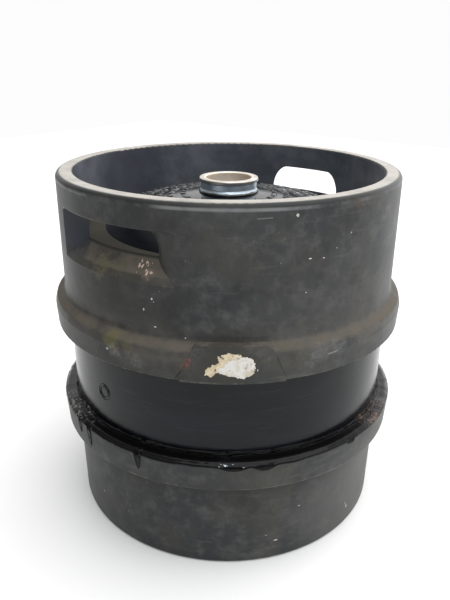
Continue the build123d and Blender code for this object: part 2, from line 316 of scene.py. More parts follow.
def ring_edges(s, color, height):
    """Smears on the slope above the upper ring, and a pale broken line along both rings' lower edges,
    partly worn and partly a painted highlight.
    """
    near_ring = s.math("ABSOLUTE", s.math("SUBTRACT", height, UPPER_SLOPE_Z))
    near_ring = s.fade(near_ring, 28 * MM, 4 * MM)
    smear = s.math("MULTIPLY", near_ring, s.fade(s.noise(26.0, 5, 0.7), 0.35, 0.7))
    color = s.tint(color, smear, 0.6, (0.092, 0.084, 0.072))
    # pale line along the lower edges: partly worn, partly a painted highlight
    for edge in (UPPER_RING_LOW + 1.0 * MM, LOWER_RING_LOW + 1.0 * MM):
        line = s.fade(s.math("ABSOLUTE", s.math("SUBTRACT", height, edge)), 1.3 * MM, 0.4 * MM)
        line = s.math("MULTIPLY", line, s.fade(s.noise(30.0, 5, 0.7), 0.42, 0.62))
        color = s.tint(color, line, 0.7, (0.23, 0.22, 0.20))
    return color


def marks(s, color):
    """Pale specks all over, then the stains and the straight strokes at their own places; one stain is a
    painted bluish reflection, and some strokes are a painted shadow and a painted highlight.
    """
    specks = s.math("MULTIPLY", s.fade(s.noise(420.0, 2, 0.5), 0.72, 0.78),
                    s.fade(s.noise(15.0, 2), 0.5, 0.6))
    color = s.tint(color, specks, 0.6, (0.30, 0.29, 0.27))
    broken = s.math("MULTIPLY_ADD", s.fade(s.noise(330.0, 6, 0.75), 0.42, 0.6), 0.8, 0.2)
    for azimuth, height_mm, radius, size, tone, strength in STAINS:
        mark = s.spot(polar(radius, azimuth, height_mm * MM), size * MM, 1.9, 150.0)
        if tone in BROKEN_TONES:
            mark = s.math("MULTIPLY", mark, broken)
        color = s.tint(color, mark, strength, tone)
    for from_azimuth, from_mm, to_azimuth, to_mm, radius, width, tone, strength in STROKES:
        start, end = polar(radius, from_azimuth, from_mm * MM), polar(radius, to_azimuth, to_mm * MM)
        color = s.tint(color, s.stroke(start, end, width * MM), strength, tone)
    return color


def polyurethane():
    """Old black moulding: chalky haze, dust on the ledges, a rim partly worn and partly painted with
    sheen, shade and a highlight, painted light and shade on the sides and in the well, scuffs and
    stains.
    """
    s = Surface("black_polyurethane", Specular_IOR_Level=0.17)
    height = s.axis("Z")
    upward = s.fade(s.facing_up(), 0.25, 0.8)
    well = s.math("MULTIPLY", s.fade(s.radius(), RIM_INNER_R + 3 * MM, RIM_INNER_R + 1 * MM),
                  s.fade(height, UPPER_RING_LOW, UPPER_RING_LOW + 20 * MM))
    gutter = s.math("MULTIPLY", well, upward)
    dust = ledge_dust(s, height, upward, well)
    scratches = s.fade(s.cells(120.0, s.stretched(1.0, 1.0, 6.0), "DISTANCE_TO_EDGE"), 0.016, 0.004)
    scratches = s.math("MULTIPLY", scratches, s.fade(s.noise(21.0, 3), 0.6, 0.7))

    color = well_light_and_gutter(s, weathered_black(s), well, upward, gutter)
    color = s.tint(painted_shading(s, color), dust, 0.8, (0.108, 0.092, 0.070))
    color = ring_edges(s, rim_wear_and_painted_light(s, color, height, well), height)
    color = s.tint(color, scratches, 0.45, (0.15, 0.148, 0.145))
    color = marks(s, color)

    normal = s.bump(s.noise(900.0, 2), 0.25, 0.4 * MM)
    normal = s.bump(s.noise(85.0, 4), 0.18, 1.2 * MM, normal)
    normal = s.bump(scratches, -0.3, 0.3 * MM, normal)
    roughness = s.math("MULTIPLY_ADD", s.noise(30.0, 5), 0.22, 0.32)
    dusty = s.math("MAXIMUM", s.math("MULTIPLY", dust, 0.45), s.math("MULTIPLY", gutter, 0.6))
    roughness = s.math("ADD", roughness, dusty, clamp=True)
    return s.finish(color, roughness, normal)


YELLOW_GREEN = (0.115, 0.105, 0.042)
CHALK = (0.34, 0.33, 0.31)
SALMON = (0.36, 0.25, 0.20)
RUST = (0.17, 0.055, 0.038)
TAN = (0.11, 0.092, 0.068)
PAD = (0.034, 0.033, 0.028)
# dark tone of a painted shadow
PAINTED_STEP_SHADOW = (0.006, 0.006, 0.006)
SCUFF = (0.135, 0.145, 0.155)
# bluish tone of a painted reflection
PAINTED_BLUISH_REFLECTION = (0.026, 0.031, 0.042)
FLOOR_GREEN = (0.100, 0.094, 0.052)
# pale tone of a painted highlight
PAINTED_EDGE_HIGHLIGHT = (0.30, 0.235, 0.205)
BROKEN_TONES = (CHALK, SCUFF, RUST, FLOOR_GREEN, SALMON)    # stains that break up into flecks
# azimuth (degrees), height (mm), radius (m), size (mm), colour, strength
STAINS = [
    (-142, 250, RING_R, 38, PAD, 0.75),
    (-176, 258, RING_R - 3 * MM, 13, YELLOW_GREEN, 0.5),
    (-170, 255, RING_R - 3 * MM, 9, YELLOW_GREEN, 0.25),
    (-175, 248, RING_R, 9, CHALK, 0.22),
    (-168, 244, RING_R, 11, CHALK, 0.13),
    (-152.3, 251, RING_R, 6, RUST, 0.5),
    (-153.6, 246, RING_R, 5, RUST, 0.4),
    (-110, 256, RING_R, 12, SCUFF, 0.4),
    (-116, 252, RING_R, 13, SCUFF, 0.35),
    (-119, 246, RING_R, 9, SCUFF, 0.3),
    (-165.5, 325, 0.183, 9, SALMON, 0.22),
    (-183, 324, 0.184, 16, FLOOR_GREEN, 0.6),
    (-176, 326, 0.182, 12, FLOOR_GREEN, 0.4),
    # painted reflection: bluish cast on the left side wall of the hand hole
    (-200, 345, 0.180, 28, PAINTED_BLUISH_REFLECTION, 0.85),
    (-128, 367, CHIME_R, 9, TAN, 0.15),
    (-131, 374, CHIME_R, 7, SCUFF, 0.2),
    (-103.6, 389, CHIME_R, 6, (0.10, 0.055, 0.04), 0.3),
]
# broad painted shade on the keg's left side and on the wall inside the well, and painted light on the
# right of the foot, same columns
PAINTED_SHADING = [
    (-192, 300, CHIME_R, 95, (0.018, 0.017, 0.015), 0.6),
    (-166, 318, CHIME_R, 70, (0.020, 0.020, 0.019), 0.4),
    (-176, 240, RING_R, 45, (0.022, 0.021, 0.018), 0.4),
    (86, 366, RIM_INNER_R, 75, (0.026, 0.029, 0.038), 0.65),
    (-96, 50, LOWER_RING_R, 95, (0.092, 0.088, 0.086), 0.5),
]
# azimuth and height where a line starts and ends, radius (m), half width (mm), colour, strength
STROKES = [
    # painted shadow: dark line where the end of the ring's band shades the label pad
    (-156.0, 233.4, -154.3, 240.4, RING_R, 1.5, PAINTED_STEP_SHADOW, 0.95),
    (-154.3, 240.4, -152.0, 248.6, RING_R, 1.1, PAINTED_STEP_SHADOW, 0.9),
    # painted highlight along the top edge of the hand hole on the left
    (-203.0, 367.6, -197.0, 367.8, CHIME_R, 1.3, PAINTED_EDGE_HIGHLIGHT, 0.8),
    (-197.0, 367.8, -190.5, 368.0, CHIME_R, 1.2, PAINTED_EDGE_HIGHLIGHT, 0.7),
    (-190.5, 368.0, -184.0, 368.2, CHIME_R, 0.9, PAINTED_EDGE_HIGHLIGHT, 0.45),
    (-113.5, 250.4, -110.6, 251.4, RING_R, 1.0, CHALK, 0.4),
    (-108.0, 235.6, -106.0, 236.4, RING_R, 0.9, CHALK, 0.4),
    (-117.4, 236.8, -115.8, 237.3, RING_R, 0.8, CHALK, 0.4),
    (-134.5, 383.0, -130.5, 383.6, CHIME_R, 0.7, CHALK, 0.25),
    (-205.0, 283.0, -199.0, 272.0, CHIME_R, 0.8, CHALK, 0.25),
]


def gloss_paint():
    """Brushed-on gloss black over steel: level streaks, sags and dust nibs."""
    s = Surface("gloss_black_paint", Specular_IOR_Level=0.22)
    strokes = s.noise(55.0, 5, 0.7, s.stretched(0.35, 0.35, 7.0))
    broad = s.noise(14.0, 3, 0.5, s.stretched(0.6, 0.6, 2.5))
    # the faint blue in the black is a painted reflection of cool light
    color = s.mix(s.fade(broad, 0.3, 0.75), rgb(0.0012, 0.0015, 0.0026), rgb(0.0050, 0.0062, 0.0094))
    roughness = s.math("MULTIPLY_ADD", strokes, 0.14, 0.09)
    wipes = s.fade(s.noise(38.0, 6, 0.75, s.stretched(0.5, 0.5, 9.0)), 0.52, 0.74)
    color = s.tint(color, wipes, 0.5, (0.022, 0.026, 0.030))
    nibs = s.fade(s.cells(220.0), 0.12, 0.02)
    nibs = s.math("MULTIPLY", nibs, s.fade(s.noise(24.0, 2), 0.55, 0.65))
    normal = s.bump(strokes, 0.16, 0.7 * MM)
    normal = s.bump(nibs, 0.35, 0.5 * MM, normal)
    normal = s.bump(s.noise(22.0, 2), 0.12, 3 * MM, normal)
    return s.finish(color, roughness, normal)


def wet_paint():
    """Thick pooled paint, still mirror-like, with a wrinkled rusty patch and a streaked one."""
    s = Surface("pooled_black_paint", Specular_IOR_Level=0.13)
    color = s.mix(s.noise(40.0, 3), rgb(0.0012, 0.0012, 0.0014), rgb(0.0035, 0.0035, 0.004))
    wrinkles = s.noise(70.0, 4, 0.6, s.stretched(2.2, 2.2, 0.5), 1.6)
    rusty = s.spot(polar(LOWER_RING_R - 4 * MM, -84, LOWER_RING_TOP), 38 * MM, 0.5, 60.0)
    copper = s.mix(s.fade(wrinkles, 0.5, 0.7), rgb(0.010, 0.006, 0.005), rgb(0.13, 0.085, 0.065))
    color = s.mix(s.math("MULTIPLY", rusty, 0.85), color, copper)
    streaky = s.spot(polar(LOWER_RING_R - 4 * MM, -203, LOWER_RING_TOP), 40 * MM, 0.5, 60.0)
    streaks = s.math("MULTIPLY", streaky, s.fade(wrinkles, 0.52, 0.66))
    color = s.mix(streaks, color, rgb(0.22, 0.21, 0.20))
    patches = s.math("MAXIMUM", rusty, streaky)
    roughness = s.math("MULTIPLY_ADD", s.noise(70.0, 4), 0.08, 0.03)
    roughness = s.math("MULTIPLY_ADD", patches, 0.18, roughness)
    normal = s.bump(s.noise(120.0, 3), 0.42, 1.1 * MM)
    normal = s.bump(s.noise(420.0, 2), 0.08, 0.3 * MM, normal)
    normal = s.bump(s.math("MULTIPLY", wrinkles, patches), 0.8, 2.5 * MM, normal)
    return s.finish(color, roughness, normal)


def turned_steel(name, tint, rough, warm_above=None, paint_below=None):
    """Stainless steel with fine turning lines round the axis, water spots and perhaps a painted foot."""
    s = Surface(name, Metallic=1.0)
    height = s.axis("Z")
    lines = s.noise(900.0, 3, 0.6, s.stretched(0.02, 0.02, 1.0))
    worn = s.noise(120.0, 5, 0.65)
    dark = tuple(channel * 0.78 for channel in tint)
    color = s.mix(s.fade(worn, 0.3, 0.6), rgb(*dark), rgb(*tint))
    spots = s.math("MULTIPLY", s.fade(s.cells(260.0), 0.3, 0.1), s.fade(s.noise(50.0, 2), 0.5, 0.6))
    color = s.tint(color, spots, 0.3, (0.30, 0.27, 0.23))
    roughness = s.math("MULTIPLY_ADD", worn, 0.1, rough)
    metallic = None
    if warm_above:
        lip = s.fade(height, warm_above - 1.5 * MM, warm_above + 0.5 * MM)
        warm = s.math("MULTIPLY", lip, s.fade(s.noise(70.0, 4), 0.2, 0.5))
        color = s.mix(warm, color, rgb(0.43, 0.395, 0.35))
        bore = s.math("MULTIPLY", s.fade(s.radius(), NECK_BORE_R + 1.5 * MM, NECK_BORE_R),
                      s.fade(height, DOME_TOP, DOME_TOP + 4 * MM))
        color = s.mix(bore, color, rgb(0.66, 0.58, 0.49))
        roughness = s.math("MULTIPLY_ADD", bore, 0.16, roughness)
    if paint_below:
        level = s.math("MULTIPLY_ADD", s.noise(90.0, 3), 3 * MM, paint_below - 1.5 * MM)
        painted = s.fade(s.math("SUBTRACT", height, level), 0.4 * MM, -0.4 * MM)
        # dark band above the paint edge: dirt, and a painted shade that dulls the light on the neck's
        # flared foot
        darkening = s.fade(s.math("SUBTRACT", height, level), 3.6 * MM, 1.4 * MM)
        color = s.tint(color, darkening, 0.7, (0.15, 0.17, 0.19))
        color = s.mix(painted, color, rgb(0.003, 0.003, 0.0035))
        metallic = s.math("SUBTRACT", 1.0, painted)
        roughness = s.math("MULTIPLY_ADD", painted, -0.15, roughness)
    normal = s.bump(lines, 0.5, 0.3 * MM)
    normal = s.bump(worn, 0.06, 0.4 * MM, normal)
    return s.finish(color, roughness, normal, metallic)


def rubber():
    s = Surface("seal_rubber", Specular_IOR_Level=0.4)
    bloom = s.noise(140.0, 5)
    color = s.mix(bloom, rgb(0.010, 0.010, 0.010), rgb(0.032, 0.031, 0.030))
    return s.finish(color, s.math("MULTIPLY_ADD", bloom, 0.2, 0.5), s.bump(bloom, 0.2, 0.3 * MM))


def label_paper():
    """Torn, weathered paper: a chalky top ply over a tan, glue-stained one."""
    s = Surface("label_paper", Specular_IOR_Level=0.2)
    fibres = s.noise(900.0, 5, 0.7)
    blotch = s.fade(s.noise(75.0, 6, 0.7), 0.40, 0.60)
    color = s.mix(blotch, rgb(0.60, 0.585, 0.56), rgb(0.46, 0.40, 0.31))
    color = s.mix(s.fade(s.noise(210.0, 4), 0.58, 0.68), color, rgb(0.30, 0.24, 0.17))
    color = s.tint(color, fibres, 0.25, (0.85, 0.83, 0.80))
    return s.finish(color, s.math("MULTIPLY_ADD", fibres, 0.15, 0.78), s.bump(fibres, 0.5, 0.3 * MM))


def tan_paper():
    s = Surface("label_under_ply", Specular_IOR_Level=0.2)
    fibres = s.noise(900.0, 5, 0.7)
    blotch = s.fade(s.noise(90.0, 6, 0.7), 0.35, 0.65)
    color = s.mix(blotch, rgb(0.47, 0.38, 0.24), rgb(0.66, 0.58, 0.43))
    color = s.mix(s.fade(s.noise(240.0, 4), 0.60, 0.68), color, rgb(0.12, 0.10, 0.08))
    return s.finish(color, s.math("MULTIPLY_ADD", fibres, 0.15, 0.8), s.bump(fibres, 0.5, 0.3 * MM))


def chip(name, light, dark):
    """Small chips, flecks and crusts of old material."""
    s = Surface(name, Specular_IOR_Level=0.3)
    grain = s.noise(600.0, 5, 0.7)
    color = s.mix(s.fade(grain, 0.3, 0.7), rgb(*dark), rgb(*light))
    return s.finish(color, s.math("MULTIPLY_ADD", grain, 0.2, 0.6), s.bump(grain, 0.6, 0.3 * MM))


# ---------------------------------------------------------------- mesh helpers
def tree_of(*names):
    """One search tree over the named CAD nodes' surfaces."""
    points, faces = [], []
    for name in names:
        mesh = frame["nodes"][name].data
        start = len(points)
        points += [vertex.co.copy() for vertex in mesh.vertices]
        faces += [[start + index for index in face.vertices] for face in mesh.polygons]
    return BVHTree.FromPolygons(points, faces)


def piece(name, points, faces, material):
    """A finished mesh piece on the keg's body."""
    mesh = bpy.data.meshes.new(name)
    mesh.from_pydata([tuple(point) for point in points], [], faces)
    mesh.validate()
    made = bpy.data.objects.new(name, mesh)
    bpy.context.collection.objects.link(made)
    edit = bmesh.new()
    edit.from_mesh(mesh)
    bmesh.ops.remove_doubles(edit, verts=edit.verts, dist=1e-6)
    bmesh.ops.recalc_face_normals(edit, faces=edit.faces)
    edit.to_mesh(mesh)
    edit.free()
    mesh.polygons.foreach_set("use_smooth", [True] * len(mesh.polygons))
    mesh.materials.append(material)
    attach(made, "keg")
    return made


def grid_faces(rows, columns, wrap=False):
    """Quads of a grid whose points are listed row by row."""
    faces = []
    for row in range(rows - 1 + wrap):
        ahead = (row + 1) % rows
        for column in range(columns - 1):
            a, b = row * columns + column, ahead * columns + column
            faces.append((a, b, b + 1, a + 1))
    return faces


def wave(angle, seed, scale):
    """Smooth repeatable variation round the keg, about -1 to 1."""
    turn = math.radians(angle)
    return noise.noise(Vector((math.cos(turn) * scale, math.sin(turn) * scale, seed * 7.3)))


# ---------------------------------------------------------------- paint that ran over the lower ring
PAINT_EDGE_MM = 135.6
LIP_CROWDING = 1.8                 # above 1, columns lie closer towards the lip
FEATHER_SHARE = 0.12               # part of the film's width that thins out on the barrel
# azimuth (degrees), length (mm), half width (degrees)
PAINT_DRIPS = [
    (-168.9, 18, 0.9), (-190, 22, 0.7), (-196, 15, 0.6), (-140, 4.0, 3.2), (-131, 4.5, 2.6),
    (-101, 4, 1.6), (-60, 12, 0.8), (-15, 9, 1.0), (25, 16, 0.8), (70, 6, 2.0), (128, 12, 0.9),
]


def paint_edge(azimuth):
    """Height (m) where the spilt paint stops on the side of the lower ring."""
    edge = PAINT_EDGE_MM + 1.3 * wave(azimuth, 1, 3.0) + 0.9 * wave(azimuth, 2, 11.0)
    edge += 0.35 * wave(azimuth, 3, 40.0)
    for middle, length, half in PAINT_DRIPS:
        away = abs((azimuth - middle + 180) % 360 - 180) / half
        if away < 2.5:
            edge -= length * math.exp(-away * away * away)
    return edge * MM


def paint_path(azimuth):
    """Corners (radius and height) of the film: down the barrel, over the ring's top, down its side."""
    shoulder = LOWER_RING_R - 0.5 * MM
    top = LOWER_RING_TOP + (5.0 + 1.2 * wave(azimuth, 5, 9.0)) * MM
    return [
        (VESSEL_R, top), (VESSEL_R, LOWER_RING_TOP + 1 * MM),
        (VESSEL_R + 1.6 * MM, LOWER_RING_TOP), (shoulder - 3.2 * MM, LOWER_RING_TOP - 1.0 * MM),
        (shoulder, LOWER_RING_TOP - 4.5 * MM), (shoulder - 0.1 * MM, paint_edge(azimuth)),
    ]


def along_path(path, distance):
    """Radius and height at a distance along a path."""
    for a, b in zip(path, path[1:]):
        length = math.dist(a, b)
        if distance <= length or b == path[-1]:
            part = min(1.0, distance / length)
            return a[0] + (b[0] - a[0]) * part, a[1] + (b[1] - a[1]) * part
        distance -= length


def film_depth(share, from_lip, thick):
    """Depth (mm) of the film: thin at the barrel, with a bead and a rolled lip at its lower edge."""
    lip = min(1.0, from_lip / (1.1 * MM))
    rise = math.sqrt(max(0.0, 1 - (1 - lip) ** 2))
    bead = math.exp(-((from_lip - 1.6 * MM) / (1.2 * MM)) ** 2) * 0.35
    feather = min(1.0, share / FEATHER_SHARE)
    depth = (thick * (0.25 + 0.75 * feather) + bead) * rise
    return depth - 0.12 * (1 - lip) - 0.1 * (1 - feather)


def pooled_paint():
    """Film from the barrel across the ring's top and over its edge, with a rolled lower lip."""
    ground = tree_of("base_chime", "vessel_bottom_shell")
    steps, across = 900, 30
    points = []
    for step in range(steps):
        azimuth = step * 360 / steps
        path = paint_path(azimuth)
        total = sum(math.dist(a, b) for a, b in zip(path, path[1:]))
        thick = 0.75 + 0.25 * wave(azimuth, 6, 25.0)
        for column in range(across):
            share = column / (across - 1)
            # columns crowd towards the lower lip, where the film rolls over
            radius, height = along_path(path, total * (1 - (1 - share) ** LIP_CROWDING))
            hit, normal, _, _ = ground.find_nearest(polar(radius, azimuth, height))
            depth = film_depth(share, (1 - share) ** LIP_CROWDING * total, thick)
            if height < LOWER_RING_TOP + 2 * MM:
                pool = math.exp(-(((radius - VESSEL_R) / (2.2 * MM)) ** 2)) * 0.8
                depth += pool * min(1.0, share / FEATHER_SHARE)
            points.append(hit + normal * depth * MM)
    faces = grid_faces(steps, across, wrap=True)
    return piece("pooled_paint", points, faces, MATERIALS["pooled"])


# ---------------------------------------------------------------- raised pattern on the dome
# radius, width and lift (mm) of each row of bars, and the lengths they are drawn from
DOME_ROWS = [(52, 7, 1.2), (66, 8, 1.3), (80, 8, 1.4), (94, 8.5, 1.4), (107, 7.5, 1.3), (118, 5, 1.0)]
BAR_LENGTHS = (5, 8, 8, 12, 18)


def dome_pattern():
    """Rows of raised bars of mixed length pressed into the dome."""
    ground = tree_of("vessel_top_shell")
    draw = random.Random(7)
    points, faces = [], []
    for radius, width, lift in DOME_ROWS:
        azimuth = draw.uniform(0, 20)
        last = azimuth + 360
        while azimuth < last - 5:
            length = draw.choice(BAR_LENGTHS)
            span = math.degrees(length / radius)
            tilt = draw.uniform(-0.25, 0.25)
            along, over = 9, 7
            start = len(points)
            for i in range(along):
                for j in range(over):
                    u, v = 2 * i / (along - 1) - 1, 2 * j / (over - 1) - 1
                    r = (radius + v * width / 2 + tilt * u * width / 2) * MM
                    above = polar(r, azimuth + (u + 1) / 2 * span, DOME_TOP + 20 * MM)
                    hit, normal, _, _ = ground.ray_cast(above, Vector((0, 0, -1)))
                    swell = (1 - u ** 6) * (1 - v ** 4)
                    points.append(hit + normal * ((lift + 0.15) * swell - 0.15) * MM)
            faces += [[start + index for index in face] for face in grid_faces(along, over)]
            azimuth += span + math.degrees(draw.uniform(2.0, 4.5) / radius)
    return piece("dome_pattern", points, faces, MATERIALS["gloss"])


# ---------------------------------------------------------------- raised ring mark on the barrel
MARK_AZIMUTH, MARK_HEIGHT = -186, 182       # degrees, mm
MARK_RINGS = ((8.9, 0.55), (6.2, 0.4))      # radius and half width (mm)
MARK_LIFT = 0.8


def barrel_mark():
    """Plain pressed double ring low on the painted barrel."""
    ground = tree_of("vessel_top_shell", "vessel_bottom_shell")
    points, faces = [], []
    for ring, half in MARK_RINGS:
        start, steps, over = len(points), 72, 7
        for i in range(steps):
            turn = math.radians(i * 360 / steps)
            for j in range(over):
                v = 2 * j / (over - 1) - 1
                r = ring + v * half
                azimuth = MARK_AZIMUTH + math.degrees(r * math.cos(turn) * MM / VESSEL_R)
                outside = polar(VESSEL_R + 5 * MM, azimuth, (MARK_HEIGHT + r * math.sin(turn)) * MM)
                hit, normal, _, _ = ground.ray_cast(outside, -polar(1, azimuth, 0))
                points.append(hit + normal * (MARK_LIFT * (1 - v * v) - 0.1) * MM)
        faces += [[start + index for index in face] for face in grid_faces(steps, over, wrap=True)]
    return piece("barrel_mark", points, faces, MATERIALS["gloss"])


# ---------------------------------------------------------------- torn label
def torn(x, y, coarse, fine):
    """How far (mm) the torn edge wanders at a point, from a coarse and a fine noise."""
    wide = noise.noise(Vector((x * 0.35, y * 0.35, coarse)))
    return 1.6 * wide + 0.8 * noise.noise(Vector((x * 1.1, y * 1.1, fine)))


def torn_patch(name, outline, lift, material, ground, seed, cell=0.5):
    """Ragged sheet on the pad, cut from a grid of square cells (mm) and thickened."""
    low = Vector((min(p[0] for p in outline), min(p[1] for p in outline)))
    high = Vector((max(p[0] for p in outline), max(p[1] for p in outline)))

    def inside(x, y):
        """Is the point inside the outline, once noise has moved it to tear the edge?"""
        x += torn(x, y, seed, seed + 3)
        y += torn(x, y, seed + 9, seed + 5)
        crossings = False
        for (x0, y0), (x1, y1) in zip(outline, outline[1:] + outline[:1]):
            if (y0 > y) != (y1 > y) and x < (x1 - x0) * (y - y0) / (y1 - y0) + x0:
                crossings = not crossings
        return crossings

    index_of, points, faces = {}, [], []
    columns = int((high.x - low.x) / cell) + 4
    rows = int((high.y - low.y) / cell) + 4

    def corner(i, j):
        if (i, j) not in index_of:
            x, y = low.x + (i - 2) * cell, low.y + (j - 2) * cell
            azimuth = PAD_AZIMUTH + math.degrees(x * MM / RING_R)
            start = polar(RING_R + 8 * MM, azimuth, y * MM)
            hit, normal, _, _ = ground.ray_cast(start, -polar(1, azimuth, 0))
            cockle = 0.12 * noise.noise(Vector((x * 0.25, y * 0.25, seed + 20)))
            index_of[i, j] = len(points)
            points.append(hit + normal * (lift + cockle) * MM)
        return index_of[i, j]

    for i in range(columns):
        for j in range(rows):
            if inside(low.x + (i - 1.5) * cell, low.y + (j - 1.5) * cell):
                faces.append((corner(i, j), corner(i + 1, j), corner(i + 1, j + 1), corner(i, j + 1)))
    made = piece(name, points, faces, material)
    sheet = made.modifiers.new("thickness", "SOLIDIFY")
    sheet.thickness, sheet.offset = 0.28 * MM, -1
    return made


# outlines of the two plies: mm round from the pad's middle, mm height
LABEL_TOP = [
    (-5, 239), (-12, 241), (-14, 245), (-8, 249), (-4, 254), (2, 257),
    (10, 258), (19, 256), (20, 250), (20, 241), (16, 238), (8, 236),
]
LABEL_UNDER = [
    (-12, 243), (-20, 237), (-26, 240), (-25, 245), (-18, 249), (-13, 252),
    (-14, 258), (-7, 261), (2, 261), (8, 259), (3, 251), (-6, 247),
]


def label():
    ground = tree_of("top_chime")
    under = torn_patch("label_under_ply", LABEL_UNDER, 0.35, MATERIALS["under_ply"], ground, 3)
    top = torn_patch("label_top_ply", LABEL_TOP, 0.62, MATERIALS["paper"], ground, 11)
    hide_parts("paper_label")
    return under, top


# ---------------------------------------------------------------- flecks of old paint and plaster
# azimuth (degrees), height, width and tallness (mm), for each material
FLECKS = {
    "chalk": [
        (-163.6, 304.5, 2.0, 2.2), (-163.0, 302, 1.2, 1.0), (-166.3, 293, 1.6, 3.4),
        (-162.8, 277, 2.8, 1.6), (-153.8, 269.8, 1.8, 1.4), (-123.6, 384.5, 3.0, 3.6),
        (-119.1, 343.9, 3.6, 1.3), (-114.9, 342.8, 2.6, 1.2), (-105.5, 362, 1.6, 1.2),
        (-119.9, 312, 1.4, 1.2), (-133.9, 243.6, 1.1, 3.2), (-177.4, 247.5, 3.0, 2.4),
        (-110.5, 350, 1.2, 1.0), (-92.5, 24, 2.5, 6.0), (-93.5, 30, 1.6, 3.0), (-117, 64.5, 3.4, 1.0),
        (-125, 25, 4.5, 2.0), (-192, 42, 1.5, 3.2), (-128.5, 34, 2.0, 0.8),
    ],
    "rust": [
        (-152.0, 252.5, 1.6, 4.0), (-152.8, 248.5, 1.8, 4.0),
    ],
}
FLECK_LIFT, CRUMB_LIFT = 0.22, 0.3      # mm
# crumbs on the floor of the hand hole: how many, where (degrees, mm) and how large (mm)
FLOOR_CRUMBS = 18
CRUMB_FROM, CRUMB_TO, CRUMB_MOST = -172, -163.5, -165
CRUMB_RADII, CRUMB_SIZES = (175, 184), (0.8, 2.8)
HAND_HOLE_Z = 350                       # mm, well inside the hole


def blob(points, faces, ground, origin, direction, across, up, size, lift, draw):
    """Adds one irregular low crumb where a ray meets the ground."""
    sides, rings = 11, 3
    wobble = [draw.uniform(0.65, 1.25) for _ in range(sides)]
    start = len(points)
    for ring in range(rings + 1):
        share = ring / rings
        for side in range(sides):
            turn = 2 * math.pi * side / sides
            reach = share * (1 + (wobble[side] - 1) * share)
            shift = across * math.cos(turn) * size[0] / 2 * reach
            shift = shift + up * math.sin(turn) * size[1] / 2 * reach
            hit, normal, _, _ = ground.ray_cast(origin + shift * MM, direction)
            if hit is None:
                del points[start:]
                return
            swell = lift * math.sqrt(max(0, 1 - share * share)) - 0.05 * share
            points.append(hit + normal * swell * MM)
    for ring in range(rings):
        for side in range(sides):
            a, b = start + ring * sides + side, start + ring * sides + (side + 1) % sides
            faces.append((a, b, b + sides, a + sides))


def flecks():
    ground = tree_of("top_chime", "base_chime")
    for kind, places in FLECKS.items():
        draw = random.Random(5)
        points, faces = [], []
        for azimuth, height, width, tall in places:
            outward = polar(1, azimuth, 0)
            around = polar(1, azimuth + 90, 0)
            blob(points, faces, ground, outward * (RING_R + 10 * MM) + Vector((0, 0, height * MM)),
                 -outward, around, Vector((0, 0, 1)), (width, tall), FLECK_LIFT, draw)
        piece("flecks_" + kind, points, faces, MATERIALS[kind])


def floor_crumbs():
    """Dried flecks on the sloping floor of the hand hole that faces -X."""
    ground = tree_of("top_chime")
    draw = random.Random(19)
    points, faces = [], []
    for _ in range(FLOOR_CRUMBS):
        azimuth = draw.triangular(CRUMB_FROM, CRUMB_TO, CRUMB_MOST)
        radius = draw.uniform(*CRUMB_RADII)
        size = draw.uniform(*CRUMB_SIZES)
        extent = (size, size * draw.uniform(0.5, 1.6))
        blob(points, faces, ground, polar(radius * MM, azimuth, HAND_HOLE_Z * MM), Vector((0, 0, -1)),
             polar(1, azimuth, 0), polar(1, azimuth + 90, 0), extent, CRUMB_LIFT, draw)
    piece("flecks_hand_hole", points, faces, MATERIALS["salmon"])


# ---------------------------------------------------------------- stage, light and camera
WHITE_FROM = 0.348                 # how far behind the keg the floor turns white (m)
FLOOR_HALF = 3.0


def stage_material():
    """Pale floor that turns to white behind the keg."""
    s = Surface("stage_floor", Roughness=0.6, Specular_IOR_Level=0.2)
    behind = s.node("ShaderNodeVectorMath", operation="DOT_PRODUCT")
    s.link(s.place, behind.inputs[0])
    behind.inputs[1].default_value = polar(-1, CAMERA_AZIMUTH, 0)
    wall = s.fade(behind.outputs["Value"], WHITE_FROM - 5 * MM, WHITE_FROM)
    near = s.mix(s.noise(2.0, 2), rgb(0.765, 0.765, 0.755), rgb(0.80, 0.80, 0.79))
    return s.finish(s.mix(wall, near, rgb(0.95, 0.95, 0.95)))


def stage():
    mesh = bpy.data.meshes.new("stage_floor")
    edit = bmesh.new()
    bmesh.ops.create_grid(edit, x_segments=4, y_segments=4, size=FLOOR_HALF)
    edit.to_mesh(mesh)
    edit.free()
    floor = bpy.data.objects.new("stage_floor", mesh)
    floor.location.z = CAD_BOX[0].z
    bpy.context.collection.objects.link(floor)
    mesh.materials.append(stage_material())


def area_light(name, azimuth, distance, height, size, power, color=(1, 1, 1)):
    """Soft light that faces the keg from an azimuth (degrees), a distance and a height (m)."""
    data = bpy.data.lights.new(name, "AREA")
    data.shape, data.size, data.size_y = "RECTANGLE", *size
    data.energy, data.color = power, color
    light = bpy.data.objects.new(name, data)
    light.location = polar(distance, azimuth, height)
    aim = Vector((0, 0, HEIGHT / 2)) - light.location
    light.rotation_euler = aim.to_track_quat("-Z", "Y").to_euler()
    bpy.context.collection.objects.link(light)


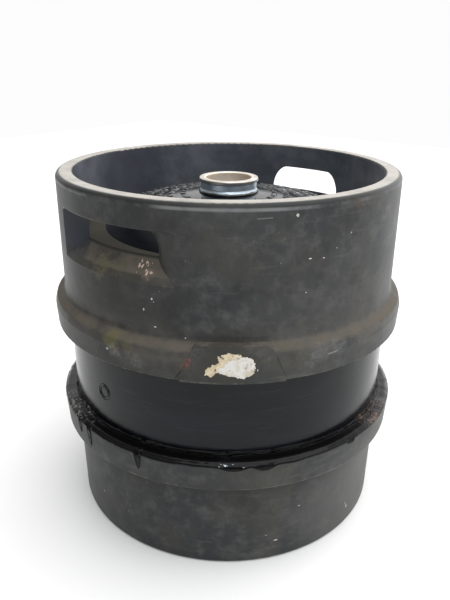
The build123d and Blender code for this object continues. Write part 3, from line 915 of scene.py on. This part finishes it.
def world():
    """White surroundings, brightest behind the keg and on its right, darker on the camera's side."""
    made = bpy.data.worlds.new("studio")
    bpy.context.scene.world = made
    made.use_nodes = True
    tree = made.node_tree
    background = tree.nodes["Background"]
    place = tree.nodes.new("ShaderNodeTexCoord").outputs["Generated"]
    ahead = CAMERA_AZIMUTH + 180
    # direction the light comes from, where it starts and is full (as a cosine), its strength
    glows = [
        (polar(1, ahead - 16, 0), 0.0, 0.8, 1.3),
        (polar(1, ahead - 85, 0), 0.0, 0.85, 1.1),
        (polar(0, 0, 1), 0.2, 1.0, 0.8),
    ]
    level = WORLD_BASE
    for direction, start, full, strength in glows:
        dot = tree.nodes.new("ShaderNodeVectorMath")
        dot.operation = "DOT_PRODUCT"
        dot.inputs[1].default_value = direction
        tree.links.new(place, dot.inputs[0])
        fade = tree.nodes.new("ShaderNodeMapRange")
        fade.interpolation_type = "SMOOTHSTEP"
        fade.inputs["From Min"].default_value = start
        fade.inputs["From Max"].default_value = full
        fade.inputs["To Max"].default_value = strength
        tree.links.new(dot.outputs["Value"], fade.inputs["Value"])
        total = tree.nodes.new("ShaderNodeMath")
        tree.links.new(fade.outputs["Result"], total.inputs[0])
        if isinstance(level, float):
            total.inputs[1].default_value = level
        else:
            tree.links.new(level, total.inputs[1])
        level = total.outputs[0]
    # rays that come straight from the camera see plain white all round
    seen = tree.nodes.new("ShaderNodeLightPath").outputs["Is Camera Ray"]
    strength = tree.nodes.new("ShaderNodeMix")
    tree.links.new(seen, strength.inputs["Factor"])
    tree.links.new(level, strength.inputs["A"])
    strength.inputs["B"].default_value = SEEN_WHITE
    tree.links.new(strength.outputs["Result"], background.inputs["Strength"])
    background.inputs["Color"].default_value = rgb(1, 1, 1)


def camera():
    """Eye in front of the label pad, tilted down at the keg."""
    data = bpy.data.cameras.new("camera")
    data.lens, data.sensor_width, data.shift_x = LENS, SENSOR, LENS_SHIFT
    data.clip_start, data.clip_end = 0.01, 50
    eye = bpy.data.objects.new("camera", data)
    pitch, roll = math.radians(CAMERA_PITCH), math.radians(CAMERA_ROLL)
    ahead = polar(-1, CAMERA_AZIMUTH, 0)
    forward = ahead * math.cos(pitch) - Vector((0, 0, math.sin(pitch)))
    right = forward.cross(Vector((0, 0, 1))).normalized()
    up = right.cross(forward)
    turned_right = right * math.cos(roll) + up * math.sin(roll)
    turned_up = up * math.cos(roll) - right * math.sin(roll)
    axes = Matrix((turned_right, turned_up, -forward)).transposed().to_4x4()
    axes.translation = polar(CAMERA_DISTANCE, CAMERA_AZIMUTH, CAMERA_HEIGHT)
    eye.matrix_world = axes
    bpy.context.collection.objects.link(eye)
    bpy.context.scene.camera = eye


# ---------------------------------------------------------------- build
camera()
world()
bpy.context.scene.view_settings.view_transform = "Standard"
# name, azimuth, distance and height (m), size (m), power (W) and colour
area_light("ceiling", CAMERA_AZIMUTH + 40, 0.6, 2.2, (2.4, 2.4), 38)
area_light("flash", CAMERA_AZIMUTH - 3, 1.0, 1.1, (0.04, 0.04), 2.6, (0.84, 0.93, 1.0))
stage()

MATERIALS = {
    "poly": polyurethane(),
    "gloss": gloss_paint(),
    "pooled": wet_paint(),
    # the neck's bright bluish tint is a painted reflection of cool light on the steel
    "neck": turned_steel("neck_steel", (0.78, 0.90, 1.0), 0.33, warm_above=top_of("keg_neck") - 3 * MM,
                         paint_below=DOME_TOP + 2.6 * MM),
    "spear": turned_steel("spear_steel", (0.62, 0.63, 0.65), 0.22),
    "wire": turned_steel("spring_steel", (0.50, 0.50, 0.51), 0.28),
    "hoop": turned_steel("hoop_steel", (0.42, 0.42, 0.43), 0.35),
    "ball": turned_steel("ball_steel", (0.75, 0.75, 0.76), 0.08),
    "rubber": rubber(),
    "paper": label_paper(),
    "under_ply": tan_paper(),
    "chalk": chip("chalk_flecks", (0.62, 0.60, 0.56), (0.30, 0.28, 0.25)),
    "rust": chip("red_flecks", (0.22, 0.075, 0.055), (0.10, 0.035, 0.028)),
    "salmon": chip("salmon_flecks", (0.50, 0.39, 0.33), (0.24, 0.18, 0.14)),
}
DRESS = {
    "poly": ("top_chime", "base_chime"),
    "gloss": ("vessel_top_shell", "vessel_bottom_shell"),
    "neck": ("keg_neck",),
    "spear": ("spear_housing", "spring_cup", "seal_cup", "down_tube", "ball_spring_seat"),
    "wire": ("gas_spring", "ball_spring", "safety_clip"),
    "hoop": ("rim_hoop", "foot_hoop"),
    "ball": ("beer_ball",),
    "rubber": ("neck_seal", "gas_seal"),
    "paper": ("paper_label",),
}
for finish_name, nodes in DRESS.items():
    for node_name in nodes:
        for material_slot in frame["nodes"][node_name].material_slots:
            material_slot.material = MATERIALS[finish_name]

pooled_paint()
dome_pattern()
barrel_mark()
label()
flecks()
floor_crumbs()

# each spring's node gets a mesh of its own: node, joint, travel (m)
SPRINGS = [("gas_spring", "gas_valve_slide", 8 * MM), ("ball_spring", "beer_ball_slide", 5 * MM)]
for spring, joint, travel in SPRINGS:
    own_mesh(frame["nodes"][spring])
